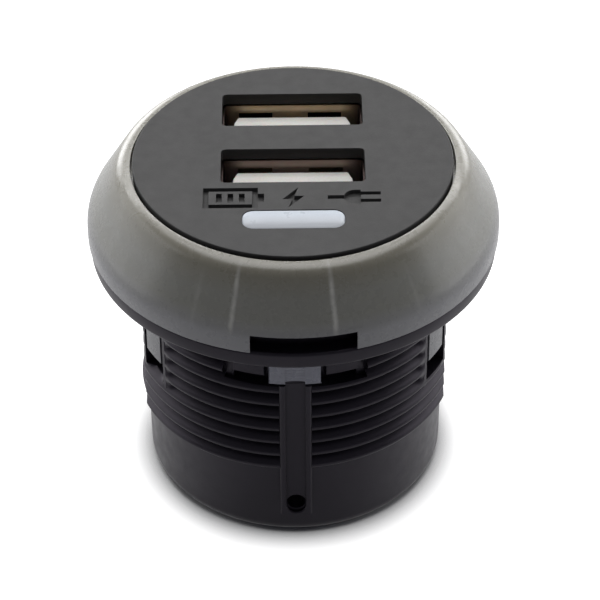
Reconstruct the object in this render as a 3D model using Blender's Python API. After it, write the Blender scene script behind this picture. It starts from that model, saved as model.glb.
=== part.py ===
"""Panel socket with two charging ports: a black moulded barrel with a threaded
shank, a grey trim ring clipped over its flange, and a round face plate.

Metres, +Z up. The socket stands on its rear rim at z = 0, its axis is Z, its
face looks up and the key rail is at the front (-Y).
"""

import math

import bmesh
import bpy

# Overall form
OVERALL_HEIGHT = 0.0330      # rear rim to face
FIT = 0.0003                 # clearance between pieces that seat on each other
FACE_FIT = 0.0002            # clearance round the face plate
OVERCUT = 0.0010             # how far a cutter reaches past what it cuts
OVERLAP = 0.0003             # how far a joined tool reaches into its target
ROUND_STEPS = 72             # facets of the turned pieces
RING_STEPS = 96              # facets of the trim ring and the face

# Ports
PORT_Y = (0.00748, -0.00118)  # centres of the two ports
SHELL_WIDTH = 0.0125         # inside the metal shell
SHELL_HEIGHT = 0.0050
SHELL_SHEET = 0.0003
SHELL_CORNER = 0.0003
SHELL_LENGTH = 0.0141
PORT_EASE = 0.00033          # opening in the face wider than the shell
PORT_CORNER = 0.0004
SPRING_X = (-0.0034, 0.0030)
SPRING_WIDTH = 0.0031
SPRING_LENGTH = 0.0060
SPRING_TOP = 0.0008          # mouth to the spring window
SPRING_TAB = 0.0014          # width of the spring
SPRING_BEND = 0.00025        # inward bend of the spring's tip
TONGUE_MARGIN = 0.0007       # tongue's side to the shell
TONGUE_TAPER = 0.0004        # tongue narrower at its far side
TONGUE_SLOPE = 0.00085       # chamfer of the tip, across
TONGUE_FALL = 0.0005         # chamfer of the tip, down
TONGUE_END = 0.0002          # chamfer at the tip's ends
TONGUE_THICKNESS = 0.00184
TONGUE_OFFSET = 0.00055      # tongue to the shell's far wall
TONGUE_DROP = 0.0009         # tongue tip below the shell's mouth
BLOCK_DEPTH = 0.0035         # moulded block that closes the shell's rear
CONTACT_X = (-0.0035, -0.0010, 0.0010, 0.0035)
CONTACT_WIDTH = 0.0010
CONTACT_THICKNESS = 0.00025
CONTACT_BOW = 0.00045
CONTACT_DROP = 0.0010        # contact's tip below the tongue's tip
CONTACT_PEAK = 0.0016        # tip to the bow's highest place
CONTACT_REAR = 0.0009        # contact's rear end above the block

# Face plate
FACE_THICKNESS = 0.0011
FACE_OVERHANG = 0.00083      # face past the housing's collar
FACE_EDGE = 0.00006          # rounding of the face's edge
FACE_PROUD = 0.0003          # face above the ring's rim
LIP_DEPTH = 0.0011           # locating lip that drops into the bore
LIP_WALL = 0.0009
SNAP_WIDTH = 0.0040
SNAP_REACH = 0.0045
SNAP_WALL = 0.0009
SNAP_BARB = 0.0005
BARB_PEAK = 0.0009           # snap's end to the barb's peak
BARB_TOP = 0.0012            # snap's end to the barb's top

# Indicator bar
BAR_LENGTH = 0.00875
BAR_WIDTH = 0.00244
BAR_CORNER = 0.00095
BAR_FIT = 0.0001             # clearance round the bar
BAR_Y = -0.00905
BAR_CROWN = 0.0001           # bar proud of the face
BAR_DEPTH = 0.0008           # bar below the face plate
BAR_ROUNDING = 0.00025
STEM_WIDTH = 0.0020
STEM_LENGTH = 0.0050
STEM_CORNER = 0.0006
LED_SIZE = (0.0035, 0.0028, 0.0014)

# Housing
BORE_CLEARANCE = 0.00021     # shell's corner to the bore
COLLAR_WALL = 0.0011
LEG_CLEARANCE = 0.0004       # collar to the clip legs
SHELF_SETBACK = 0.0002       # shelf's edge behind the legs' inner side
LEG_WALL = 0.00095
LEG_INSET = 0.00015          # clip leg inside the thread's crest
THREAD_DEPTH = 0.0008
THREAD_PITCH = 0.0015
CREST_FLAT = 0.0005
NECK_LENGTH = 0.0004         # plain neck under the flange, as wide as the thread
FLAT_DEPTH = 0.00115         # flats on both sides of the thread
FLANGE_THICKNESS = 0.0016
FLANGE_INSET = 0.0002        # flange inside the ring's outer edge
FLANGE_EDGE = 0.0003
STEP_HEIGHT = 0.0013         # step that centres the ring's skirt
PILOT_INSET = 0.0011         # plain rear end inside the thread's crest
PILOT_LENGTH = 0.0093
PILOT_EDGE = 0.0007
REAR_WALL = 0.0016           # wall of the rear shroud
BULKHEAD = 0.0016
PARTS_ROOM = 0.0065          # bulkhead to the board
LEDGE = 0.0010               # ledge that carries the board
RELIEF_ANGLE = 25.5          # degrees, relief beside the front leg
RELIEF_REACH = 0.0053
PAD_ANGLES = (10.6, 22.8)
PAD_REACH = 0.0044
PAD_INSET = 0.0005
RAIL_WIDTH = 0.0029
RAIL_DEPTH = 0.0024
RAIL_REAR = 0.0034           # rail's lower end
GROOVE_WIDTH = 0.00176
GROOVE_DEPTH = 0.0005
KEY_HOLE = 0.00083           # radius
KEY_HOLE_Z = 0.0045

# Trim ring
RIM_ROUNDING = 0.0015        # radius of the rim, from the face's edge to the flank
RIM_TURN = 55.0              # degrees, steepness of the flank
RING_FLARE = 0.0029          # spread of the conical flank
RING_HEIGHT = 0.0068
RING_EDGE = 0.0001
SKIRT_HEIGHT = 0.00185
RING_WALL = 0.0014
SHELF_THICKNESS = 0.0012
NOTCH_WIDTH = 0.0092         # pry notch in the skirt
NOTCH_ANGLE = 2.3            # degrees off the front, towards +X
LEG_WIDTH = 0.0047           # front and rear clip legs
SIDE_LEG_WIDTH = 0.0028
SIDE_LEG_ANGLES = (60.0, 120.0, -60.0, -120.0)
FRONT_LEG_REACH = 0.0050     # below the flange
SIDE_LEG_REACH = 0.0078
LEG_POCKET = 0.0016          # free pocket below a side leg

# Board, what it carries and the rear blades
BOARD_GAP = 0.0004           # board to the bore
BOARD_THICKNESS = 0.0016
INDUCTOR_SIZE = (0.0058, 0.0058, 0.0040)
INDUCTOR_CORNER = 0.0010
INDUCTOR_DIMPLE = 0.0016
INDUCTOR_RATIO = (0.0, -0.48)  # place as shares of the bore's radius, as below
CAPACITOR_RADIUS = 0.0020
CAPACITOR_LENGTH = 0.0045
CAPACITOR_RATIO = (0.226, 0.685)
REGULATOR_SIZE = (0.0049, 0.0039, 0.0016)
REGULATOR_RATIO = (0.0, 0.0)
CONTROL_SIZE = (0.0029, 0.0028, 0.0012)
CONTROL_RATIO = (0.0, 0.34)
DIODE_SIZE = (0.0026, 0.0043, 0.0023)
DIODE_RATIO = (-0.63, 0.0)
FUSE_SIZE = (0.0026, 0.0043, 0.0010)
FUSE_RATIO = (0.63, 0.0)
BLADE_SPREAD = 0.34
BLADE_WIDTH = 0.0063
BLADE_SHEET = 0.0008
BLADE_REAR = 0.0011          # blade tips above the rear rim
BLADE_CHAMFER = 0.0012
BLADE_HOLE = 0.0008
BLADE_HOLE_REACH = 0.0028
BLADE_TAIL = 0.0016          # half width of the tail on the board
BLADE_SHOULDER = 0.0006
SLOT_DEPTH = 0.0012          # slots in the board for the tails

# Heights worked out from the sizes above
face_z = OVERALL_HEIGHT
face_under = face_z - FACE_THICKNESS
rim_z = face_z - FACE_PROUD
ring_z = rim_z - RING_HEIGHT
flank_low = ring_z + SKIRT_HEIGHT
shelf_z = face_under - FIT
shelf_under = shelf_z - SHELF_THICKNESS
flange_top = ring_z - FIT
flange_z = flange_top - FLANGE_THICKNESS
step_top = flange_top + STEP_HEIGHT
relief_z = flange_z - RELIEF_REACH
shell_top = face_under - FACE_FIT
shell_bottom = shell_top - SHELL_LENGTH
block_top = shell_bottom + BLOCK_DEPTH
tongue_tip = shell_top - TONGUE_DROP
board_top = shell_bottom - FIT
board_bottom = board_top - BOARD_THICKNESS
ledge_z = board_bottom - FIT
bulkhead_top = board_bottom - PARTS_ROOM
shroud_depth = bulkhead_top - BULKHEAD
barb_z = face_under - SNAP_REACH

# Widths and radii worked out from the sizes above
port_width = SHELL_WIDTH + PORT_EASE
port_height = SHELL_HEIGHT
shell_outer_width = SHELL_WIDTH + 2 * SHELL_SHEET
shell_outer_height = SHELL_HEIGHT + 2 * SHELL_SHEET
tongue_width = SHELL_WIDTH - 2 * TONGUE_MARGIN
shell_reach = max(abs(y) for y in PORT_Y) + shell_outer_height / 2
bore_radius = math.hypot(shell_outer_width / 2, shell_reach) + BORE_CLEARANCE
collar_radius = bore_radius + COLLAR_WALL
leg_inner = collar_radius + LEG_CLEARANCE
leg_outer = leg_inner + LEG_WALL
shelf_radius = leg_inner + SHELF_SETBACK
thread_radius = leg_outer + LEG_INSET
root_radius = thread_radius - THREAD_DEPTH
flat_half = thread_radius - FLAT_DEPTH
pilot_radius = thread_radius - PILOT_INSET
shroud_radius = pilot_radius - REAR_WALL
face_radius = collar_radius + FACE_OVERHANG
ring_bore = face_radius + FACE_FIT
rim_turn = math.radians(RIM_TURN)
flank_top = ring_bore + RIM_ROUNDING * math.sin(rim_turn)
ring_radius = flank_top + RING_FLARE
skirt_bore = ring_radius - RING_WALL
flange_radius = ring_radius - FLANGE_INSET
snap_radius = bore_radius - FIT
board_radius = bore_radius - BOARD_GAP
blade_x = bore_radius * BLADE_SPREAD


def clear_scene():
    """Remove what the scene holds."""
    for obj in list(bpy.data.objects):
        bpy.data.objects.remove(obj, do_unlink=True)


def material(name, colour, roughness, metallic=0.0):
    """One Principled material."""
    mat = bpy.data.materials.new(name)
    mat.use_nodes = True
    shader = mat.node_tree.nodes["Principled BSDF"]
    shader.inputs["Base Color"].default_value = (*colour, 1.0)
    shader.inputs["Roughness"].default_value = roughness
    shader.inputs["Metallic"].default_value = metallic
    return mat


def mesh_object(name, bm, mat=None):
    """Turn a bmesh into a linked object with smooth shading."""
    bmesh.ops.recalc_face_normals(bm, faces=bm.faces)
    mesh = bpy.data.meshes.new(name)
    bm.to_mesh(mesh)
    bm.free()
    obj = bpy.data.objects.new(name, mesh)
    bpy.context.scene.collection.objects.link(obj)
    if mat:
        mesh.materials.append(mat)
    mesh.shade_smooth()
    mesh.set_sharp_from_angle(angle=math.radians(35))
    return obj


def turned(name, profile, mat=None, steps=ROUND_STEPS):
    """Spin a closed (radius, height) profile round Z. It may have two points on the axis."""
    bm = bmesh.new()
    verts = [bm.verts.new((r, 0.0, z)) for r, z in profile]
    edges = []
    for i in range(len(profile)):
        if profile[i - 1][0] > 0.0 or profile[i][0] > 0.0:
            edges.append(bm.edges.new((verts[i - 1], verts[i])))
    bmesh.ops.spin(bm, geom=verts + edges, cent=(0, 0, 0), axis=(0, 0, 1),
                   angle=2 * math.pi, steps=steps, use_merge=True)
    bmesh.ops.remove_doubles(bm, verts=bm.verts, dist=1e-6)
    return mesh_object(name, bm, mat)


def stack(name, rings, mat=None):
    """Skin a pile of (outline, height) rings that have the same number of points."""
    bm = bmesh.new()
    layers = [[bm.verts.new((x, y, z)) for x, y in outline] for outline, z in rings]
    bm.faces.new(layers[0])
    bm.faces.new(layers[-1])
    for low, high in zip(layers, layers[1:]):
        for i in range(len(low)):
            bm.faces.new((low[i - 1], low[i], high[i], high[i - 1]))
    return mesh_object(name, bm, mat)


def prism(name, outline, z0, z1, mat=None):
    """Extrude an (x, y) outline from z0 to z1."""
    return stack(name, [(outline, z0), (outline, z1)], mat)


def side_prism(name, outline, x0, x1, mat=None):
    """Extrude a (y, z) outline along X."""
    bm = bmesh.new()
    left = [bm.verts.new((x0, y, z)) for y, z in outline]
    right = [bm.verts.new((x1, y, z)) for y, z in outline]
    bm.faces.new(left)
    bm.faces.new(right)
    for i in range(len(outline)):
        bm.faces.new((left[i - 1], left[i], right[i], right[i - 1]))
    return mesh_object(name, bm, mat)


def rectangle(width, depth, x=0.0, y=0.0):
    """Corners of a rectangle centred on (x, y)."""
    w = width / 2
    d = depth / 2
    return [(x - w, y - d), (x + w, y - d), (x + w, y + d), (x - w, y + d)]


def rounded(width, depth, radius, x=0.0, y=0.0, steps=4):
    """Rectangle with round corners."""
    points = []
    for k, (sx, sy) in enumerate(((1, -1), (1, 1), (-1, 1), (-1, -1))):
        cx = x + sx * (width / 2 - radius)
        cy = y + sy * (depth / 2 - radius)
        for i in range(steps + 1):
            a = math.radians(-90 + 90 * k + 90 * i / steps)
            points.append((cx + radius * math.cos(a), cy + radius * math.sin(a)))
    return points


def bar_outline(grow):
    """Outline of the indicator bar, grown on all sides."""
    return rounded(BAR_LENGTH + 2 * grow, BAR_WIDTH + 2 * grow, BAR_CORNER + grow, y=BAR_Y, steps=6)


def circle(radius, steps, x=0.0, y=0.0):
    """Points of a circle."""
    turn = 2 * math.pi / steps
    return [(x + radius * math.cos(i * turn), y + radius * math.sin(i * turn))
            for i in range(steps)]


def sector(name, r0, r1, a0, a1, z0, z1, step=4.0):
    """Block between two radii and two angles from the front, in degrees."""
    count = max(2, round(abs(a1 - a0) / step) + 1)
    angles = [math.radians(-90 + a0 + (a1 - a0) * i / (count - 1)) for i in range(count)]
    outline = [(r1 * math.cos(a), r1 * math.sin(a)) for a in angles]
    outline += [(r0 * math.cos(a), r0 * math.sin(a)) for a in reversed(angles)]
    return prism(name, outline, z0, z1)


def boolean(target, tool, operation):
    """Apply a tool to a target and keep the tool as a hidden guide."""
    mod = target.modifiers.new(tool.name, "BOOLEAN")
    mod.operation = operation
    mod.object = tool
    mod.solver = "EXACT"
    tool.hide_render = True
    tool.display_type = "WIRE"


def cut(target, *tools):
    """Cut tools out of a target."""
    for tool in tools:
        boolean(target, tool, "DIFFERENCE")


def join(target, *tools):
    """Join tools to a target."""
    for tool in tools:
        boolean(target, tool, "UNION")


def half_angle(width, radius):
    """Degrees that half a width takes at a radius."""
    return math.degrees(math.asin(width / 2 / radius))


def thread_profile():
    """Crests of the shank from the neck down to the pilot."""
    neck_z = flange_z - NECK_LENGTH
    turns = int((neck_z - PILOT_LENGTH) / THREAD_PITCH - 0.5)
    points = [(thread_radius, flange_z), (thread_radius, neck_z)]
    for i in range(turns, -1, -1):
        crest = PILOT_LENGTH + i * THREAD_PITCH
        points.append((root_radius, crest + (THREAD_PITCH + CREST_FLAT) / 2))
        points.append((thread_radius, crest + CREST_FLAT))
        points.append((thread_radius, crest))
    return points


def leg_windows():
    """Angle, half angle, reach of each clip leg."""
    half = half_angle(LEG_WIDTH, leg_outer)
    side_half = half_angle(SIDE_LEG_WIDTH, leg_outer)
    legs = [(0.0, half, FRONT_LEG_REACH), (180.0, half, SIDE_LEG_REACH)]
    return legs + [(angle, side_half, SIDE_LEG_REACH) for angle in SIDE_LEG_ANGLES]


def housing_profile():
    """Section of the barrel: collar, step, flange, shank, pilot, shroud, bulkhead, bore."""
    front = [(collar_radius, shelf_z), (collar_radius, step_top), (skirt_bore - FIT, step_top),
             (skirt_bore - FIT, flange_top), (flange_radius - FLANGE_EDGE, flange_top),
             (flange_radius, flange_top - FLANGE_EDGE), (flange_radius, flange_z + FLANGE_EDGE),
             (flange_radius - FLANGE_EDGE, flange_z)]
    rear = [(pilot_radius, PILOT_LENGTH - THREAD_PITCH * 0.4), (pilot_radius, PILOT_EDGE),
            (pilot_radius - PILOT_EDGE * 0.3, PILOT_EDGE * 0.3), (pilot_radius - PILOT_EDGE, 0.0),
            (shroud_radius, 0.0), (shroud_radius, shroud_depth), (0.0, shroud_depth)]
    inside = [(0.0, bulkhead_top), (bore_radius - LEDGE, bulkhead_top),
              (bore_radius - LEDGE, ledge_z), (bore_radius, ledge_z), (bore_radius, shelf_z)]
    return front + thread_profile() + rear + inside


def make_housing():
    """Moulded barrel with its rail, reliefs, windows and slots."""
    mat = material("black_housing_plastic", (0.018, 0.018, 0.020), 0.42)
    housing = turned("housing", housing_profile(), mat)
    rail_y = -thread_radius + RAIL_DEPTH / 2
    join(housing, prism("rail_body", rectangle(RAIL_WIDTH, RAIL_DEPTH, y=rail_y),
                        RAIL_REAR, relief_z))

    for side, name in ((-1, "flat_left"), (1, "flat_right")):
        x = side * (flat_half + FLAT_DEPTH)
        outline = rectangle(2 * FLAT_DEPTH, 2 * thread_radius, x=x)
        cut(housing, prism(name, outline, PILOT_LENGTH - THREAD_PITCH * 0.35, flange_z))

    cut(housing, sector("front_relief", leg_inner - FIT, thread_radius + OVERCUT,
                        -RELIEF_ANGLE, RELIEF_ANGLE, relief_z, flange_z))
    for side, name in ((-1, "guide_pad_left"), (1, "guide_pad_right")):
        first, last = PAD_ANGLES
        join(housing, sector(name, leg_inner - FIT - OVERLAP, thread_radius - PAD_INSET,
                             side * first, side * last, flange_z - PAD_REACH, flange_z + OVERLAP))

    margin = half_angle(2 * FIT, leg_outer)
    for angle, half, reach in leg_windows():
        free = LEG_POCKET if angle else 0.0
        cut(housing, sector(f"leg_window_{angle:+.0f}", leg_inner - FIT, thread_radius + OVERCUT,
                            angle - half - margin, angle + half + margin,
                            flange_z - reach - FIT - free, step_top + OVERCUT))

    groove_y = -thread_radius + (GROOVE_DEPTH - OVERCUT) / 2
    cut(housing, prism("rail_groove",
                       rectangle(GROOVE_WIDTH, GROOVE_DEPTH + OVERCUT, y=groove_y),
                       KEY_HOLE_Z - KEY_HOLE, relief_z + OVERCUT / 2))
    hole = prism("key_hole", circle(KEY_HOLE, 16), -OVERCUT,
                 thread_radius - shroud_radius + OVERCUT)
    hole.location = (0.0, -shroud_radius, KEY_HOLE_Z)
    hole.rotation_euler = (math.radians(90), 0.0, 0.0)
    cut(housing, hole)

    for side, end in ((-1, "left"), (1, "right")):
        slot = rectangle(BLADE_SHEET + 2 * FIT, BLADE_WIDTH + 2 * FIT, x=side * blade_x)
        window = rectangle(2 * (COLLAR_WALL + OVERCUT), SNAP_WIDTH + 4 * FIT, x=side * collar_radius)
        cut(housing,
            prism(f"blade_slot_{end}", slot, shroud_depth - OVERCUT / 2, bulkhead_top + OVERCUT / 2),
            prism(f"snap_window_{end}", window, barb_z - FIT, barb_z + BARB_TOP + FIT))
    return housing


def ring_profile():
    """Section of the trim ring: rim, flank, skirt and shelf."""
    points = [(ring_bore, shelf_z), (ring_bore, rim_z)]
    for k in range(1, 5):
        a = rim_turn * k / 4
        points.append((ring_bore + RIM_ROUNDING * math.sin(a),
                       rim_z - RIM_ROUNDING * (1 - math.cos(a))))
    points += [(ring_radius - RING_EDGE / 2, flank_low + RING_EDGE), (ring_radius, flank_low),
               (ring_radius, ring_z + RING_EDGE), (ring_radius - RING_EDGE, ring_z),
               (skirt_bore, ring_z), (skirt_bore, flank_low - 2 * RING_EDGE),
               (flank_top - RING_WALL * 0.2, shelf_under), (shelf_radius, shelf_under),
               (shelf_radius, shelf_z)]
    return points


def make_trim_ring():
    """Conical ring with a rounded rim, a skirt, a pry notch and clip legs."""
    mat = material("warm_grey_plastic", (0.30, 0.295, 0.27), 0.38)
    ring = turned("trim_ring", ring_profile(), mat, RING_STEPS)
    for angle, half, reach in leg_windows():
        join(ring, sector(f"clip_leg_{angle:+.0f}", leg_inner, leg_outer, angle - half,
                          angle + half, flange_z - reach, shelf_z - OVERLAP))
    half = half_angle(NOTCH_WIDTH, ring_radius)
    cut(ring, sector("pry_notch", skirt_bore - OVERCUT, ring_radius + OVERCUT, NOTCH_ANGLE - half,
                     NOTCH_ANGLE + half, ring_z - OVERCUT, flank_low))
    return ring


def make_face_plate():
    """Round face with two port openings, the indicator window and two snaps."""
    mat = material("matt_face_plastic", (0.105, 0.105, 0.108), 0.55)
    disc = circle(face_radius, RING_STEPS)
    plate = stack("face_plate", [(disc, face_under), (disc, face_z - FACE_EDGE),
                                 (circle(face_radius - FACE_EDGE, RING_STEPS), face_z)], mat)
    lip_inner = snap_radius - LIP_WALL
    lip_bottom = face_under - LIP_DEPTH
    lip_top = face_under + OVERLAP
    join(plate, turned("face_lip", [(snap_radius, lip_bottom), (snap_radius, lip_top),
                                    (lip_inner, lip_top), (lip_inner, lip_bottom)]))

    inner = snap_radius - SNAP_WALL
    arm = [(inner, lip_top), (snap_radius, lip_top), (snap_radius, barb_z + BARB_TOP),
           (snap_radius + SNAP_BARB, barb_z + BARB_PEAK), (snap_radius, barb_z), (inner, barb_z)]
    for side, name in ((-1, "snap_left"), (1, "snap_right")):
        bar = side_prism(name, arm, -SNAP_WIDTH / 2, SNAP_WIDTH / 2)
        bar.rotation_euler = (0.0, 0.0, math.radians(-90 * side))
        join(plate, bar)

    below = face_under - SNAP_REACH
    for k, y in enumerate(PORT_Y):
        opening = rounded(port_width, port_height, PORT_CORNER, y=y, steps=2)
        seat = rectangle(shell_outer_width + 2 * FIT, shell_outer_height + 2 * FIT, y=y)
        cut(plate, prism(f"port_opening_{k}", opening, face_under - OVERCUT, face_z + OVERCUT))
        cut(plate, prism(f"shell_seat_{k}", seat, below, face_under))
    cut(plate, prism("bar_window", bar_outline(BAR_FIT), below, face_z + OVERCUT))
    return plate


def make_light_pipe():
    """Frosted bar in the face with a stem down to the indicator."""
    mat = material("frosted_light_pipe", (0.80, 0.83, 0.85), 0.35)
    bar_bottom = face_under - BAR_DEPTH
    outline = bar_outline(0.0)
    bar = stack("light_pipe", [(outline, bar_bottom), (outline, face_z - BAR_CROWN),
                               (bar_outline(-BAR_ROUNDING), face_z + BAR_CROWN)], mat)
    stem = rounded(STEM_LENGTH, STEM_WIDTH, STEM_CORNER, y=BAR_Y, steps=2)
    join(bar, prism("light_pipe_stem", stem, board_top + LED_SIZE[2] + 2 * FIT,
                    bar_bottom + OVERLAP))
    return bar


def make_shell(index, y):
    """Metal shell with two springs in its far wall."""
    steel = material(f"port_shell_metal_{index}", (0.62, 0.60, 0.57), 0.30, metallic=1.0)
    outer = rounded(shell_outer_width, shell_outer_height, SHELL_CORNER + SHELL_SHEET, y=y, steps=3)
    inner = rounded(SHELL_WIDTH, SHELL_HEIGHT, SHELL_CORNER, y=y, steps=3)
    shell = prism(f"port_shell_{index}", outer, shell_bottom, shell_top, steel)
    cut(shell, prism(f"shell_inner_{index}", inner, shell_bottom - OVERCUT, shell_top + OVERCUT))
    wall_y = y + (SHELL_HEIGHT + SHELL_SHEET) / 2
    top = shell_top - SPRING_TOP
    foot = top - SPRING_LENGTH
    for k, x in enumerate(SPRING_X):
        window = rectangle(SPRING_WIDTH, SHELL_SHEET * 3, x=x, y=wall_y)
        cut(shell, prism(f"spring_window_{index}_{k}", window, foot, top))
        base = rectangle(SPRING_TAB, SHELL_SHEET, x=x, y=wall_y)
        tip = rectangle(SPRING_TAB, SHELL_SHEET, x=x, y=wall_y - SPRING_BEND)
        join(shell, stack(f"spring_{index}_{k}", [(base, foot - OVERLAP),
                                                  (tip, top - SPRING_TAB / 2)]))
    return shell


def tongue_outline(near, far, inset):
    """Trapezoid section of a tongue, narrower at its far side."""
    half = tongue_width / 2 - inset
    return [(-half, near), (half, near), (half - TONGUE_TAPER, far), (-half + TONGUE_TAPER, far)]


def make_tongue(index, y):
    """Moulded tongue with four contacts, and the block that closes the shell."""
    cream = material(f"port_tongue_plastic_{index}", (0.82, 0.79, 0.72), 0.45)
    gold = material(f"port_contact_gold_{index}", (0.85, 0.62, 0.28), 0.25, metallic=1.0)
    far = y + SHELL_HEIGHT / 2 - TONGUE_OFFSET
    near = far - TONGUE_THICKNESS
    root = tongue_outline(near, far, 0.0)
    tip = tongue_outline(near + TONGUE_SLOPE, far, TONGUE_END)
    tongue = stack(f"port_tongue_{index}", [(root, block_top - OVERLAP),
                                            (root, tongue_tip - TONGUE_FALL),
                                            (tip, tongue_tip)], cream)
    block = rectangle(SHELL_WIDTH - 2 * FIT, SHELL_HEIGHT - 2 * FIT, y=y)
    join(tongue, prism(f"tongue_block_{index}", block, shell_bottom + FIT, block_top))

    base = near - FIT / 2
    front = base - CONTACT_THICKNESS
    top = tongue_tip - CONTACT_DROP
    peak = top - CONTACT_PEAK
    knee = peak - CONTACT_PEAK
    foot = block_top + CONTACT_REAR
    strip = [(base, foot), (base, knee), (base - CONTACT_BOW, peak), (base, top),
             (front, top), (front - CONTACT_BOW, peak), (front, knee), (front, foot)]
    for k, x in enumerate(CONTACT_X, start=1):
        side_prism(f"port_contact_{index}_{k}", strip, x - CONTACT_WIDTH / 2,
                   x + CONTACT_WIDTH / 2, gold)
    return tongue


def make_board():
    """Round circuit board that carries the ports on its upper side."""
    mat = material("green_circuit_board", (0.03, 0.16, 0.07), 0.5)
    board = prism("circuit_board", circle(board_radius, 48), board_bottom, board_top, mat)
    for side, name in ((-1, "board_slot_left"), (1, "board_slot_right")):
        slot = rectangle(BLADE_SHEET + 2 * FIT, 2 * (BLADE_TAIL + FIT), x=side * blade_x)
        cut(board, prism(name, slot, board_bottom - OVERCUT, board_bottom + SLOT_DEPTH))
    return board


def hung_block(name, size, place, mat, corner=0.0):
    """Part of the given size that hangs below the board."""
    width, depth, height = size
    x = bore_radius * place[0]
    y = bore_radius * place[1]
    outline = rectangle(width, depth, x, y)
    if corner:
        outline = rounded(width, depth, corner, x, y, steps=3)
    top = board_bottom - FIT
    return prism(name, outline, top - height, top, mat)


def make_components():
    """Indicator above the board, power parts below it."""
    white = material("indicator_white", (0.85, 0.85, 0.80), 0.4)
    black = material("chip_black", (0.02, 0.02, 0.022), 0.5)
    grey = material("inductor_grey", (0.12, 0.12, 0.13), 0.6)
    tin = material("capacitor_can", (0.70, 0.70, 0.72), 0.3, metallic=1.0)
    length, width, height = LED_SIZE
    seat = board_top + FIT
    prism("indicator_led", rectangle(length, width, y=BAR_Y), seat, seat + height, white)

    inductor = hung_block("inductor", INDUCTOR_SIZE, INDUCTOR_RATIO, grey, INDUCTOR_CORNER)
    dimple = circle(INDUCTOR_DIMPLE, 16, y=bore_radius * INDUCTOR_RATIO[1])
    low = board_bottom - FIT - INDUCTOR_SIZE[2]
    cut(inductor, prism("inductor_dimple", dimple, low - OVERCUT, low + OVERLAP))

    top = board_bottom - FIT
    across, along = CAPACITOR_RATIO
    for side, name in ((-1, "capacitor_1"), (1, "capacitor_2")):
        outline = circle(CAPACITOR_RADIUS, 24, side * bore_radius * across, bore_radius * along)
        prism(name, outline, top - CAPACITOR_LENGTH, top, tin)
    hung_block("regulator_chip", REGULATOR_SIZE, REGULATOR_RATIO, black)
    hung_block("charge_control_chip", CONTROL_SIZE, CONTROL_RATIO, black)
    hung_block("protection_diode", DIODE_SIZE, DIODE_RATIO, black)
    hung_block("input_fuse", FUSE_SIZE, FUSE_RATIO, tin)


def make_blades():
    """Two flat terminals from the board through the bulkhead into the shroud."""
    mat = material("tinned_brass", (0.75, 0.73, 0.66), 0.28, metallic=1.0)
    half = BLADE_WIDTH / 2
    top = board_bottom + SLOT_DEPTH - FIT
    shoulder = bulkhead_top + BLADE_SHOULDER
    neck = shoulder + half - BLADE_TAIL
    outline = [(-half + BLADE_CHAMFER, BLADE_REAR), (half - BLADE_CHAMFER, BLADE_REAR),
               (half, BLADE_REAR + BLADE_CHAMFER), (half, shoulder), (BLADE_TAIL, neck),
               (BLADE_TAIL, top), (-BLADE_TAIL, top), (-BLADE_TAIL, neck), (-half, shoulder),
               (-half, BLADE_REAR + BLADE_CHAMFER)]
    for side, name in ((-1, "terminal_negative"), (1, "terminal_positive")):
        x = side * blade_x
        blade = side_prism(name, outline, x - BLADE_SHEET / 2, x + BLADE_SHEET / 2, mat)
        hole = prism(f"{name}_hole", circle(BLADE_HOLE, 16), -BLADE_SHEET, BLADE_SHEET)
        hole.location = (x, 0.0, BLADE_REAR + BLADE_HOLE_REACH)
        hole.rotation_euler = (0.0, math.radians(90), 0.0)
        cut(blade, hole)


def main():
    clear_scene()
    make_housing()
    make_trim_ring()
    make_face_plate()
    make_light_pipe()
    for index, y in enumerate(PORT_Y, start=1):
        make_shell(index, y)
        make_tongue(index, y)
    make_board()
    make_components()
    make_blades()


main()
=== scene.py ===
"""Looks of the panel socket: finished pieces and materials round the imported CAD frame.

Metres, +Z up, in the frame of the CAD. The detailed pieces take their places
from the frame's boxes and the named sizes below. Angles round the socket are
degrees from its front, which looks along -Y.
"""

import math

import bmesh
import bpy
from mathutils import Matrix, Vector


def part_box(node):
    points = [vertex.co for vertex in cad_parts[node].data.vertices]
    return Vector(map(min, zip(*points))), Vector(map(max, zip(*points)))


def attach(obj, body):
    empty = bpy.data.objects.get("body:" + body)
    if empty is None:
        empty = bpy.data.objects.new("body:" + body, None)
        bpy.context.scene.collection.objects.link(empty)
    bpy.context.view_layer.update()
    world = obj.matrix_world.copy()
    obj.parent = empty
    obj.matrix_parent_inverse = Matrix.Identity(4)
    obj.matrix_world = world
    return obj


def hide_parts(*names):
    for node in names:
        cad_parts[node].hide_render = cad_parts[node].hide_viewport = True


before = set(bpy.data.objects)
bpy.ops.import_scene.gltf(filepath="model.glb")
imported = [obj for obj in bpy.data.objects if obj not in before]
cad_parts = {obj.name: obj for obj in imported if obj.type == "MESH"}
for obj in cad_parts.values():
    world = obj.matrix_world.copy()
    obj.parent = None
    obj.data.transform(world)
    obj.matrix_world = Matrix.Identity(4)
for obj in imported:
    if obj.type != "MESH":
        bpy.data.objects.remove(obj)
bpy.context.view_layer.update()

BODY = "root"
SIDES = ((-1, "left"), (1, "right"))

# Upper corners of boxes read from the frame
face_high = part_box("face_plate")[1]
ring_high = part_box("trim_ring")[1]
housing_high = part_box("housing")[1]

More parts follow.
